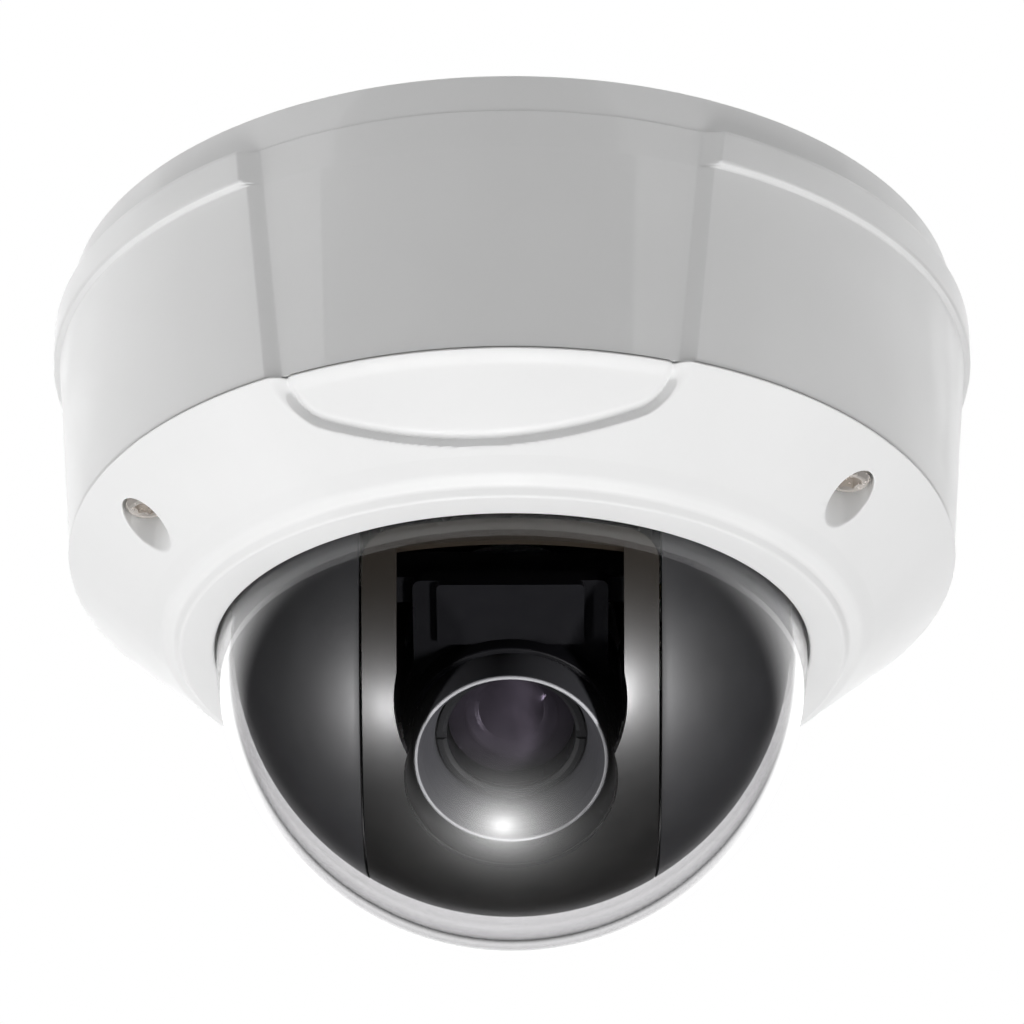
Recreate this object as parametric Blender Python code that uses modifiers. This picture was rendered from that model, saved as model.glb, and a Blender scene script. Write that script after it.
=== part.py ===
"""Vandal-resistant dome CCTV camera, ceiling mounted.

Origin: centre of the mounting face. +Z points into the ceiling, the dome hangs towards -Z,
and the recessed front panel faces -Y. Sizes below are in millimetres.
"""
import math

import bmesh
import bpy
from mathutils import Matrix, Vector

MM = 0.001
GAP = 0.3                       # between touching pieces
CUTTER_TWIST = Matrix.Rotation(math.radians(3.7), 3, "Z")   # keeps corners off the edges they cross

BODY_STEPS = 40                 # segments round the housing and cover
LENS_STEPS = 24                 # segments round the lens parts

# Housing
RIM_RADIUS = 77.4               # tier against the ceiling
BAND_RADIUS = 80.0              # widest tier
RIM_HEIGHT = 7.0
BAND_HEIGHT = 14.0
WALL_TOP_RADIUS = 78.8
SEAM_RADIUS = 75.8
SEAM_Z = -49.8
CAVITY_RADIUS = 72.4
BASE_THICKNESS = 3.5
CABLE_HOLE = (42.0, 33.0)
POST_CIRCLE = 35.5

# Recessed front panel
RECESS_DEPTH = 1.25
RECESS_TOP_HALF = 36.2
RECESS_SEAM_HALF = 31.9
RECESS_FLARE = 3.2
RECESS_END_Y = -63.6
RECESS_CORNER = 6.5

# Screws that hold the cover
SCREW_CIRCLE = 67.5
SCREW_ANGLES = {"front_left": -60.0, "front_right": 60.0, "rear": 180.0}
WELL_RADIUS = 4.0
SCREW_SEAT_Z = -50.6
BOSS_END_Z = -44.5
SPIGOT_TOP_Z = -45.0
SPIGOT_OUTER = 71.9
SPIGOT_INNER = 70.0

# Dome
BEZEL_Z = -67.4
BEZEL_INNER = 50.9
BEZEL_OUTER = 56.6
BUBBLE_RADIUS = 50.25
BUBBLE_WALL = 2.2
BUBBLE_FLANGE = 55.5

# Gimbal
PAN_REST = 4.0                  # degrees, lens turned off the panel's middle
PIVOT_Z = -63.6
LENS_DOWN = 58.0                # degrees below the horizontal
LINER_RADIUS = 47.2
LINER_WALL = 1.5
SLOT_HALF = 24.2
BAND_HALF = 23.8
LINER_TOP_Z = -55.5
CRADLE_INNER = 20.8
CRADLE_OUTER = 22.8
ARM_INNER = 26.5
ARM_OUTER = 29.0

# Lens, measured along its axis from the tilt pivot
RIM_AT = 39.2
RIM_R = 15.75
FOCUS_RING_R = 18.4
ZOOM_RING_R = 16.8
BARREL_R = 13.0
BORE_R = 10.8

COLOURS = {
    "white_paint": ((0.83, 0.83, 0.82), 0.45, 0.0),
    "clear_bubble": ((0.95, 0.96, 0.97), 0.05, 0.0),
    "black_plastic": ((0.012, 0.012, 0.013), 0.32, 0.0),
    "grey_plastic": ((0.10, 0.10, 0.105), 0.45, 0.0),
    "anodised_black": ((0.02, 0.02, 0.022), 0.35, 0.4),
    "rubber": ((0.03, 0.03, 0.03), 0.8, 0.0),
    "silicone": ((0.35, 0.36, 0.37), 0.6, 0.0),
    "black_steel": ((0.015, 0.015, 0.016), 0.4, 0.0),
    "zinc_steel": ((0.62, 0.62, 0.60), 0.35, 1.0),
    "stainless": ((0.70, 0.69, 0.67), 0.25, 1.0),
    "brass": ((0.78, 0.60, 0.28), 0.35, 1.0),
    "aluminium": ((0.75, 0.76, 0.77), 0.4, 1.0),
    "board_green": ((0.02, 0.16, 0.06), 0.5, 0.0),
    "terminal_green": ((0.05, 0.35, 0.12), 0.5, 0.0),
    "switch_white": ((0.8, 0.8, 0.78), 0.5, 0.0),
    "silicon": ((0.05, 0.05, 0.09), 0.15, 0.2),
    "coated_glass": ((0.10, 0.07, 0.16), 0.03, 0.0),
    "paper": ((0.85, 0.85, 0.82), 0.9, 0.0),
}


# ---------------------------------------------------------------- helpers

def clear_scene():
    for obj in list(bpy.data.objects):
        bpy.data.objects.remove(obj, do_unlink=True)


def new_collection(name):
    collection = bpy.data.collections.new(name)
    bpy.context.scene.collection.children.link(collection)
    return collection


def material(name):
    found = bpy.data.materials.get(name)
    if found:
        return found
    colour, roughness, metallic = COLOURS[name]
    made = bpy.data.materials.new(name)
    made.use_nodes = True
    shader = made.node_tree.nodes["Principled BSDF"]
    shader.inputs["Base Color"].default_value = (*colour, 1.0)
    shader.inputs["Roughness"].default_value = roughness
    shader.inputs["Metallic"].default_value = metallic
    if name == "clear_bubble":
        shader.inputs["Transmission Weight"].default_value = 1.0
    return made


def place(obj, parent=None, at=(0, 0, 0), turn=(0, 0, 0)):
    """Sets an object's place in its parent's frame: millimetres and degrees."""
    obj.parent = parent
    obj.location = [c * MM for c in at]
    obj.rotation_euler = [math.radians(a) for a in turn]
    return obj


def empty(name, parent=None, at=(0, 0, 0), turn=(0, 0, 0)):
    obj = bpy.data.objects.new(name, None)
    PARTS.objects.link(obj)
    return place(obj, parent, at, turn)


def piece(name, mesh, look):
    """Links a mesh as a sub-part, or as a cutter when look is None."""
    obj = bpy.data.objects.new(name, mesh)
    if look is None:
        CUTTERS.objects.link(obj)
        obj.hide_render = True
        obj.display_type = "WIRE"
    else:
        PARTS.objects.link(obj)
        obj.data.materials.append(material(look))
    return obj


def shade(obj):
    obj.data.shade_smooth()
    obj.data.set_sharp_from_angle(angle=math.radians(35))
    return obj


def turned(name, look, profile, steps=48, closed=True, **where):
    """Turns a profile of (radius, z) about Z. It runs down its outer side and up its inner side."""
    mesh = bpy.data.meshes.new(name)
    points = [(r * MM, 0.0, z * MM) for r, z in profile]
    edges = [(i, i + 1) for i in range(len(points) - 1)]
    if closed:
        edges.append((len(points) - 1, 0))
    mesh.from_pydata(points, edges, [])
    obj = piece(name, mesh, look)
    screw = obj.modifiers.new("turn", "SCREW")
    screw.steps = steps
    screw.render_steps = steps
    screw.use_merge_vertices = True
    screw.merge_threshold = 0.00001
    screw.use_smooth_shade = True
    return place(obj, **where)


def rod(name, look, radius, low, high, sides=24, **where):
    """Solid cylinder along Z from low to high."""
    mesh = bpy.data.meshes.new(name)
    form = bmesh.new()
    bmesh.ops.create_cone(form, cap_ends=True, segments=sides, radius1=radius * MM,
                          radius2=radius * MM, depth=(high - low) * MM)
    bmesh.ops.translate(form, verts=form.verts, vec=(0, 0, (low + high) / 2 * MM))
    if look is None:
        bmesh.ops.rotate(form, verts=form.verts, matrix=CUTTER_TWIST)
    form.to_mesh(mesh)
    form.free()
    return place(shade(piece(name, mesh, look)), **where)


def block(name, look, low, high, bevel=0.0, **where):
    """Box between two corners."""
    mesh = bpy.data.meshes.new(name)
    form = bmesh.new()
    bmesh.ops.create_cube(form, size=1.0)
    size = [(b - a) * MM for a, b in zip(low, high)]
    middle = [(b + a) / 2 * MM for a, b in zip(low, high)]
    bmesh.ops.scale(form, verts=form.verts, vec=size)
    bmesh.ops.translate(form, verts=form.verts, vec=middle)
    form.to_mesh(mesh)
    form.free()
    obj = piece(name, mesh, look)
    if bevel:
        rounding = obj.modifiers.new("edges", "BEVEL")
        rounding.width = bevel * MM
        rounding.segments = 1
        rounding.limit_method = "ANGLE"
    return place(obj, **where)


def prism(name, look, outline, low, high, along="Z", **where):
    """Extrudes an outline, given anticlockwise seen from the +along side."""
    to_3d = {
        "X": lambda a, b, c: (c, a, b),
        "Z": lambda a, b, c: (a, b, c),
    }[along]
    mesh = bpy.data.meshes.new(name)
    form = bmesh.new()
    ring = [form.verts.new([c * MM for c in to_3d(a, b, low)]) for a, b in outline]
    face = form.faces.new(ring)
    pushed = bmesh.ops.extrude_face_region(form, geom=[face])
    moved = [v for v in pushed["geom"] if isinstance(v, bmesh.types.BMVert)]
    bmesh.ops.translate(form, verts=moved, vec=[c * MM for c in to_3d(0, 0, high - low)])
    bmesh.ops.recalc_face_normals(form, faces=form.faces)
    form.to_mesh(mesh)
    form.free()
    return place(piece(name, mesh, look), **where)


def loft(name, look, lower, upper, low, high, **where):
    """Solid between two outlines with the same number of points."""
    mesh = bpy.data.meshes.new(name)
    form = bmesh.new()
    rings = []
    for outline, z in ((lower, low), (upper, high)):
        rings.append([form.verts.new((x * MM, y * MM, z * MM)) for x, y in outline])
    form.faces.new(rings[0])
    form.faces.new(rings[1])
    count = len(lower)
    for i in range(count):
        j = (i + 1) % count
        form.faces.new((rings[0][i], rings[0][j], rings[1][j], rings[1][i]))
    bmesh.ops.recalc_face_normals(form, faces=form.faces)
    form.to_mesh(mesh)
    form.free()
    return place(piece(name, mesh, look), **where)


def spun(name, look, section, start, end, steps, **where):
    """Turns a closed section of (x, radius) about X, from one angle off +Z to another, towards +Y."""
    mesh = bpy.data.meshes.new(name)
    form = bmesh.new()
    a = math.radians(start)
    ring = [form.verts.new((x * MM, r * math.sin(a) * MM, r * math.cos(a) * MM)) for x, r in section]
    face = form.faces.new(ring)
    bmesh.ops.spin(form, geom=[face, *face.edges, *face.verts], cent=(0, 0, 0), axis=(-1, 0, 0),
                   angle=math.radians(end - start), steps=steps)
    bmesh.ops.recalc_face_normals(form, faces=form.faces)
    form.to_mesh(mesh)
    form.free()
    return place(shade(piece(name, mesh, look)), **where)


def combine(obj, tool, operation):
    change = obj.modifiers.new(tool.name, "BOOLEAN")
    change.operation = operation
    change.solver = "EXACT"
    change.object = tool
    return obj


def cut(obj, *tools):
    for tool in tools:
        combine(obj, tool, "DIFFERENCE")
    return obj


def join(obj, *tools):
    for tool in tools:
        combine(obj, tool, "UNION")
    return obj


def arc(radius, start, end, count, cx=0.0, cy=0.0):
    """Points on a circle, angles in degrees."""
    turn = [math.radians(start + (end - start) * i / count) for i in range(count + 1)]
    return [(cx + radius * math.cos(a), cy + radius * math.sin(a)) for a in turn]


def polar(radius, angle):
    """Place on a circle about Z, with the angle counted from the front towards +X."""
    a = math.radians(angle)
    return radius * math.sin(a), -radius * math.cos(a)


# ---------------------------------------------------------------- housing

def wall_radius(z):
    """Outer radius of the housing wall at height z."""
    share = (z + BAND_HEIGHT) / (SEAM_Z + BAND_HEIGHT)
    return WALL_TOP_RADIUS + (SEAM_RADIUS - WALL_TOP_RADIUS) * share


def shoulder_radius(z):
    """Outer radius of the cover's sloping shoulder at height z."""
    return 75.3 + (z + 50.9) * (75.3 - 60.9) / (63.6 - 50.9)


def recess_cutters():
    """Panel recess: outside its floor surface, inside a rounded outline."""
    flat = WALL_TOP_RADIUS - RECESS_DEPTH
    floor = [(flat, 1), (flat, -BAND_HEIGHT), (wall_radius(SEAM_Z) - RECESS_DEPTH, SEAM_Z),
             (shoulder_radius(-53) - 1.1, -53), (shoulder_radius(-61) - 0.8, -61),
             (shoulder_radius(-63) - 0.8, -63)]
    outlines = []
    for half, y in ((RECESS_SEAM_HALF, -67.3), (RECESS_TOP_HALF, -68.3)):
        outlines.append([(-50, -95), (50, -95), (50, y + 0.8), (half + RECESS_FLARE, y),
                         (half, y + 0.4), (half, -60), (-half, -60), (-half, y + 0.4),
                         (-half - RECESS_FLARE, y), (-50, y + 0.8)])
    half = RECESS_SEAM_HALF + 0.4
    corner = RECESS_END_Y - RECESS_CORNER
    bottom = [(-half, -95), (half, -95)]
    bottom += arc(RECESS_CORNER, 0, 90, 6, half - RECESS_CORNER, corner)
    bottom += arc(RECESS_CORNER, 90, 180, 6, RECESS_CORNER - half, corner)
    made = []
    for name in ("housing_recess", "cover_recess"):
        ring = turned(name + "_cutter", None, [(90, 1), (90, -63), *reversed(floor)],
                      BODY_STEPS)
        if name == "housing_recess":
            outline = loft(name + "_outline", None, *outlines, SEAM_Z - 2, 2)
        else:
            outline = prism(name + "_outline", None, bottom, -64, SEAM_Z + 2)
        made.append(combine(ring, outline, "INTERSECT"))
    return made


def housing(recess):
    body = turned("base_housing", "white_paint", [
        (0, 0), (66, 0), (66, -1.5), (70, -1.5), (70, 0), (76.8, 0), (RIM_RADIUS, -0.6),
        (RIM_RADIUS, -RIM_HEIGHT), (79.4, -RIM_HEIGHT - 0.3), (BAND_RADIUS, -RIM_HEIGHT - 0.9),
        (BAND_RADIUS, -BAND_HEIGHT + 0.9), (79.5, 0.3 - BAND_HEIGHT),
        (WALL_TOP_RADIUS, -BAND_HEIGHT), (SEAM_RADIUS, SEAM_Z), (CAVITY_RADIUS, SEAM_Z),
        (CAVITY_RADIUS, -BASE_THICKNESS - 1), (CAVITY_RADIUS - 1, -BASE_THICKNESS),
        (0, -BASE_THICKNESS)], BODY_STEPS, closed=False)
    for name, angle in SCREW_ANGLES.items():
        x, y = polar(SCREW_CIRCLE, angle)
        join(body, rod(f"boss_{name}", None, 5.5, BOSS_END_Z, -2.0, at=(x, y, 0)))
        cut(body, rod(f"boss_hole_{name}", None, 2.3, BOSS_END_Z - 2, -30, 16, at=(x, y, 0)))
    cut(body, recess)
    for i, angle in enumerate((0, 90, 180, 270)):
        x, y = polar(58, angle)
        cut(body, rod(f"ceiling_hole_{i}", None, 2.5, -9, 5, 16, at=(x, y, 0)))
    cut(body, rod("cable_hole_cutter", None, 9.0, -9, 5, at=(*CABLE_HOLE, 0)))
    for i in range(3):
        x, y = polar(POST_CIRCLE, 120 * i)
        cut(body, rod(f"post_hole_{i}", None, 1.5, -BASE_THICKNESS - 2, -1.5, 12, at=(x, y, 0)))


def base_fittings():
    turned("mounting_gasket", "rubber", [(69.7, -0.1), (69.7, -1.2), (66.3, -1.2), (66.3, -0.1)], 40)
    turned("cable_grommet", "rubber", [
        (8.6, -0.6), (8.6, -3.8), (11.5, -3.8), (11.5, -5.6), (5.2, -5.6), (5.2, -0.6)],
        20, at=(*CABLE_HOLE, 0))
    turned("cover_seal", "silicone", [
        (72.1, -46.5), (72.1, -48.1), (71.1, -48.1), (71.1, -46.5)], 40)
    for i in range(3):
        x, y = polar(POST_CIRCLE, 120 * i)
        post = rod(f"chassis_post_{i + 1}", "brass", 3.0, -27.7, -3.8, 6, at=(x, y, 0))
        join(post, rod(f"post_stud_{i}", None, 1.2, -6, -2.2, 12, at=(x, y, 0)))
        cut(post, rod(f"post_bore_{i}", None, 1.8, -29, -21, 12, at=(x, y, 0)))
        screw = rod(f"chassis_screw_{i + 1}", "zinc_steel", 3.0, -31.7, -30.3, 16, at=(x, y, 0))
        join(screw, rod(f"chassis_shank_{i}", None, 1.5, -31, -22, 12, at=(x, y, 0)))
    plate = turned("chassis_plate", "zinc_steel", [(40, -28), (40, -30), (19, -30), (19, -28)], 36)
    for i in range(3):
        x, y = polar(POST_CIRCLE, 120 * i)
        cut(plate, rod(f"plate_hole_{i}", None, 1.8, -32, -26, 12, at=(x, y, 0)))
    turned("pan_track", "grey_plastic", [(31.5, -30.3), (31.5, -32.3), (23, -32.3), (23, -30.3)], 36)


def electronics():
    board = block("main_board", "board_green", (-36, -40, -10.6), (36, 40, -9.0))
    for i in range(3):
        x, y = polar(POST_CIRCLE, 120 * i)
        cut(board, rod(f"board_hole_{i}", None, 3.5, -12, -8, 12, at=(x, y, 0)))
    jack = block("network_jack", "zinc_steel", (-8, 23.5, -24.4), (8, 45.0, -10.9))
    cut(jack, block("jack_mouth", None, (-5.9, 32.0, -22.4), (5.9, 50, -14.4)),
        block("jack_latch_way", None, (-3.2, 32.0, -15.0), (3.2, 50, -12.4)))
    terminal = block("power_terminal", "terminal_green", (18, 25, -20.9), (29, 36, -10.9), 0.6)
    for i, x in enumerate((20.8, 26.2)):
        cut(terminal, rod(f"terminal_screw_way_{i}", None, 1.6, -24, -17.5, 12, at=(x, 28.5, 0)),
            block(f"terminal_wire_way_{i}", None, (x - 1.5, 31.5, -19.0), (x + 1.5, 40, -15.5)))
    slot = block("memory_card_slot", "stainless", (-34, -39, -12.8), (-19, -24, -10.9))
    cut(slot, block("card_mouth", None, (-32.2, -43, -12.3), (-20.8, -26, -11.3)))
    sink = block("heat_sink", "aluminium", (-13, -25, -19), (13, 1, -10.9))
    for i in range(6):
        x = -11 + 4.4 * i
        cut(sink, block(f"fin_gap_{i}", None, (x - 1.3, -30, -22), (x + 1.3, 5, -13)))
    block("desiccant_pack", "paper", (-13, -8, -7.8), (13, 8, -3.8), 1.6, at=(-45, 34, 0),
          turn=(0, 0, 53))
    switch = block("reset_switch", "black_plastic", (27, -37, -14.4), (33, -31, -10.9))
    cut(switch, rod("reset_way", None, 2.0, -16, -11.6, 16, at=(30, -34, 0)))
    rod("reset_button", "switch_white", 1.7, -17.0, -12.9, 16, at=(30, -34, 0))


# ---------------------------------------------------------------- cover and dome

def cover(recess, lift):
    body = turned("dome_cover", "white_paint", [
        (SPIGOT_OUTER, SPIGOT_TOP_Z), (SPIGOT_OUTER, -50.1), (75.9, -50.1), (75.9, -50.5),
        (75.3, -50.9), (61.9, -62.7), (60.2, -64.4), (58.8, -65.2), (57.3, -66.2),
        (BEZEL_OUTER, -67.0), (56.2, BEZEL_Z),
        (51.5, BEZEL_Z), (BEZEL_INNER, -66.8), (BEZEL_INNER, -64.6), (56.3, -64.6), (56.3, -61.0),
        (61.4, -61.0), (61.4, -59.1), (SPIGOT_INNER, -51.5), (SPIGOT_INNER, SPIGOT_TOP_Z)], BODY_STEPS,
        parent=lift)
    groove = turned("seal_groove", None, [(75, -46.2), (75, -48.4), (70.8, -48.4), (70.8, -46.2)],
                    BODY_STEPS)
    for name, angle in SCREW_ANGLES.items():
        x, y = polar(SCREW_CIRCLE, angle)
        tower = rod(f"tower_{name}", None, 5.7, -60, -50.1, 16, at=(x, y, 0))
        envelope = turned(f"tower_envelope_{name}", None, [
            (74.5, -49), (74.5, -50.9), (61.4, -62.4), (50, -62.4), (50, -49)], BODY_STEPS)
        join(body, combine(tower, envelope, "INTERSECT"))
        join(body, rod(f"seat_{name}", None, 3.7, -53, -48.9, 16, at=(x, y, 0)))
        cut(body, rod(f"well_{name}", None, WELL_RADIUS, -66, SCREW_SEAT_Z, 20, at=(x, y, 0)),
            rod(f"well_hole_{name}", None, 2.4, -55, -44, 16, at=(x, y, 0)))
    cut(body, groove, recess)
    for i in range(3):
        x, y = polar(58.9, 120 * i)
        cut(body, rod(f"clamp_hole_{i}", None, 1.4, -63.6, -59, 12, at=(x, y, 0)))


def bubble(lift):
    inner = BUBBLE_RADIUS - BUBBLE_WALL
    inside = [(0, BEZEL_Z - inner), *arc(inner, -78, 0, 7, 0, BEZEL_Z)]
    outside = [*arc(BUBBLE_RADIUS, 0, -78, 7, 0, BEZEL_Z), (0, BEZEL_Z - BUBBLE_RADIUS)]
    turned("dome_bubble", "clear_bubble", [
        *inside, (inner, -61.0), (BUBBLE_FLANGE, -61.0), (BUBBLE_FLANGE, -63.0),
        (BUBBLE_RADIUS, -63.0), *outside], 36, closed=False, parent=lift)
    turned("bubble_gasket", "silicone", [
        (55.7, -63.3), (55.7, -64.3), (51.2, -64.3), (51.2, -63.3)], 40, parent=lift)
    ring = turned("bubble_clamp", "zinc_steel", [
        (61.0, -59.3), (61.0, -60.7), (49.6, -60.7), (49.6, -59.3)], 40, parent=lift)
    for i in range(3):
        x, y = polar(58.9, 120 * i)
        cut(ring, rod(f"clamp_way_{i}", None, 1.5, -62, -58, 12, at=(x, y, 0)))
        screw = rod(f"clamp_screw_{i + 1}", "zinc_steel", 2.3, -59.0, -57.6, 16, parent=lift,
                    at=(x, y, 0))
        join(screw, rod(f"clamp_shank_{i}", None, 1.1, -63.2, -58.5, 12, at=(x, y, 0)))
        cut(screw, block(f"clamp_slot_{i}", None, (-3, -0.35, -58.1), (3, 0.35, -57), at=(x, y, 0)))


def cover_screws(lift):
    for name, angle in SCREW_ANGLES.items():
        x, y = polar(SCREW_CIRCLE, angle)
        screw = turned(f"cover_screw_{name}", "stainless", [
            (0, -32), (2.0, -32.5), (2.0, -50.9), (3.3, -50.9), (3.3, -52.9), (2.8, -53.6),
            (0, -53.6)], 16, closed=False, parent=lift, at=(x, y, 0))
        cut(screw, rod(f"hex_socket_{name}", None, 1.9, -55, -51.9, 6, at=(x, y, 0)))


# ---------------------------------------------------------------- gimbal

def pan_stage(pan):
    table = turned("pan_turntable", "black_plastic", [
        (18.6, -26.5), (18.6, -32.6), (35.5, -32.6), (35.5, -36.1), (15.2, -36.1), (15.2, -26.5)],
        36, parent=pan)
    cut(table, rod("pan_lock_way", None, 1.8, -39, -30, 12, parent=pan, at=(0, 28, 0)))
    clip = turned("pan_clip", "zinc_steel", [(23, -26.7), (23, -27.7), (18.9, -27.7), (18.9, -26.7)],
                  24, parent=pan)
    cut(clip, block("clip_split", None, (-2, -30, -29), (2, -10, -25), parent=pan))
    for side, sign in (("left", -1), ("right", 1)):
        plate = [(-13, -36.4), *arc(13, 180, 360, 10, 0, -66), (13, -36.4)]
        low, high = sorted((sign * ARM_INNER, sign * ARM_OUTER))
        arm = prism(f"yoke_arm_{side}", "black_steel", plate, low, high, "X", parent=pan)
        foot_low, foot_high = sorted((sign * 14.0, sign * (ARM_INNER + 1)))
        join(arm, block(f"foot_{side}", None, (foot_low, -13, -38.9), (foot_high, 13, -36.4),
                        parent=pan))
        cut(arm, rod(f"pivot_way_{side}", None, 2.8, -40, 40, 20, parent=pan, at=(0, 0, PIVOT_Z),
                     turn=(0, 90, 0)))
        if side == "right":
            cut(arm, rod("tilt_lock_way", None, 1.8, 20, 40, 12, parent=pan, at=(0, 0, -54.6),
                         turn=(0, 90, 0)))
        pin = rod(f"tilt_pin_{side}", "stainless", 2.5, 21.4, 30.0, 20, parent=pan,
                  at=(0, 0, PIVOT_Z), turn=(0, sign * 90, 0))
        join(pin, rod(f"pin_head_{side}", None, 4.5, 29.3, 31.3, 20, parent=pan,
                      at=(0, 0, PIVOT_Z), turn=(0, sign * 90, 0)))
    lock_screw("pan_lock_screw", pan, (0, 28, -36.4), (180, 0, 0), 4.0, 4.0, 1.5, 3.2)
    lock_screw("tilt_lock_screw", pan, (ARM_OUTER + GAP, 0, -54.6), (0, 90, 0), 4.0, 3.5, 1.5, 5.8)


def lock_screw(name, parent, at, turn, radius, height, shank, depth):
    """Knurled thumb screw: head along local +Z from the origin, shank along -Z."""
    screw = rod(name, "brass", radius, 0, height, 18, parent=parent, at=at, turn=turn)
    join(screw, rod(name + "_shank", None, shank, -depth, 1, 12, parent=parent, at=at, turn=turn))
    cut(screw, block(name + "_slot", None, (-radius - 1, -0.4, height - 0.8),
                     (radius + 1, 0.4, height + 1), parent=parent, at=at, turn=turn))


def liners(pan):
    inner = LINER_RADIUS - LINER_WALL
    for side, sign in (("left", -1), ("right", 1)):
        outer_end = math.degrees(math.acos(SLOT_HALF / LINER_RADIUS))
        inner_end = math.degrees(math.acos(SLOT_HALF / inner))
        profile = [(r, x) for x, r in arc(LINER_RADIUS, 0, outer_end, 6)]
        profile += [(r, x) for x, r in arc(inner, inner_end, 0, 6)]
        cap = turned(f"liner_{side}", "black_plastic", profile, 30, closed=False,
                     parent=pan, at=(0, 0, PIVOT_Z), turn=(0, sign * 90, 0))
        trim_liner(cap, side, sign, pan)


def trim_liner(cap, side, sign, pan):
    reach = math.sqrt((LINER_RADIUS - 0.7) ** 2 - 9 ** 2 - 6.4 ** 2)
    for i, y in enumerate((-9, 9)):
        join(cap, rod(f"liner_post_{side}_{i}", None, 2.5, ARM_OUTER + GAP, reach, 12, parent=pan,
                      at=(0, y, PIVOT_Z - 6.4), turn=(0, sign * 90, 0)))
    cut(cap, block(f"liner_trim_{side}", None, (-60, -60, LINER_TOP_Z), (60, 60, 0), parent=pan))


# ---------------------------------------------------------------- tilting head

def tilting_head(tilt):
    """In this frame +Z runs along the lens, +X to the right and +Y up across the lens."""
    reach = 39.2
    side_outline = [(y, z) for z, y in arc(reach, -25, 60, 10) + arc(12, 85, 310, 9)]
    cradle = None
    for side, sign in (("left", -1), ("right", 1)):
        low, high = sorted((sign * CRADLE_INNER, sign * CRADLE_OUTER))
        name = "tilt_cradle" if cradle is None else "cradle_side"
        look = "black_steel" if cradle is None else None
        plate = prism(name, look, side_outline, low, high, "X", parent=tilt)
        if cradle is None:
            cradle = plate
        else:
            join(cradle, plate)
    join(cradle, block("cradle_web", None, (-CRADLE_INNER - 1, -17, -2.7),
                       (CRADLE_INNER + 1, 17, -0.2), parent=tilt))
    cut(cradle, rod("cradle_bore", None, 16.6, -6, 4, LENS_STEPS, parent=tilt))
    for side, sign in (("left", -1), ("right", 1)):
        cut(cradle, rod(f"cradle_pivot_{side}", None, 2.8, 21.1, 30, 20, parent=tilt,
                        turn=(0, sign * 90, 0)),
            rod(f"cradle_ear_way_{side}", None, 1.5, 18, 30, 12, parent=tilt, at=(0, 25, 21),
                turn=(0, sign * 90, 0)))
    band(tilt)
    shroud(tilt)


def band(tilt):
    inner = LINER_RADIUS - LINER_WALL
    xs = [BAND_HALF * (i / 2 - 1) for i in range(5)]
    section = [(x, math.sqrt(LINER_RADIUS ** 2 - x * x)) for x in xs]
    section += [(x, math.sqrt(inner ** 2 - x * x)) for x in reversed(xs)]
    strip = spun("shutter_band", "black_plastic", section, LENS_DOWN - 150, LENS_DOWN - 4, 24,
                 parent=tilt)
    cut(strip, rod("band_lens_way", None, 17.2, 30, 60, 28, parent=tilt),
        rod("band_ring_way", None, 18.7, 28, 60, 28, parent=tilt, at=(0, 13, 0)),
        spun("band_slot", None, [(-18.4, 30), (18.4, 30), (18.4, 60), (-18.4, 60)],
             16, LENS_DOWN - 8.5, 8, parent=tilt))
    dish = turned("band_dish", None, [(18.3, 43.2), (17.2, 35.4), (16.2, 35.4), (17.2, 43.5)],
                  LENS_STEPS, parent=tilt)
    cut(dish, block("dish_trim", None, (-30, 3.5, 30), (30, 30, 50), parent=tilt))
    join(strip, dish)


def shroud(tilt):
    tab = [(15.8, 6)]
    tab += [(15.8, 26.5), (14.6, 27.7), (-14.6, 27.7), (-15.8, 26.5), (-15.8, 6)]
    ring = arc(17.8, 158, 382, 18)
    plate = prism("lens_shroud", "black_plastic", tab + ring, 26.0, 29.0, "Z", parent=tilt)
    join(plate, turned("shroud_collar", None, [
        (17.4, 33.0), (17.8, 28.0), (16.2, 28.0), (16.2, 33.0)], LENS_STEPS, parent=tilt),
        block("shroud_face", None, (-11.9, 16.6, 28.5), (11.9, 27.7, 30.4), parent=tilt),
        block("shroud_beam", None, (-20.5, 22.6, 18.5), (20.5, 27.2, 27.0), parent=tilt))
    cut(plate, rod("shroud_bore", None, 16.5, 20, 40, LENS_STEPS, parent=tilt))
    for side, sign in (("left", -1), ("right", 1)):
        cut(plate, rod(f"shroud_ear_way_{side}", None, 1.5, 17, 25, 12, parent=tilt,
                       at=(0, 25, 21), turn=(0, sign * 90, 0)))
        screw = rod(f"shroud_screw_{side}", "zinc_steel", 2.4, 23.1, 24.5, 14, parent=tilt,
                    at=(0, 25, 21), turn=(0, sign * 90, 0))
        join(screw, rod(f"shroud_shank_{side}", None, 1.2, 17.5, 23.6, 12, parent=tilt,
                        at=(0, 25, 21), turn=(0, sign * 90, 0)))


# ---------------------------------------------------------------- lens

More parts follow.
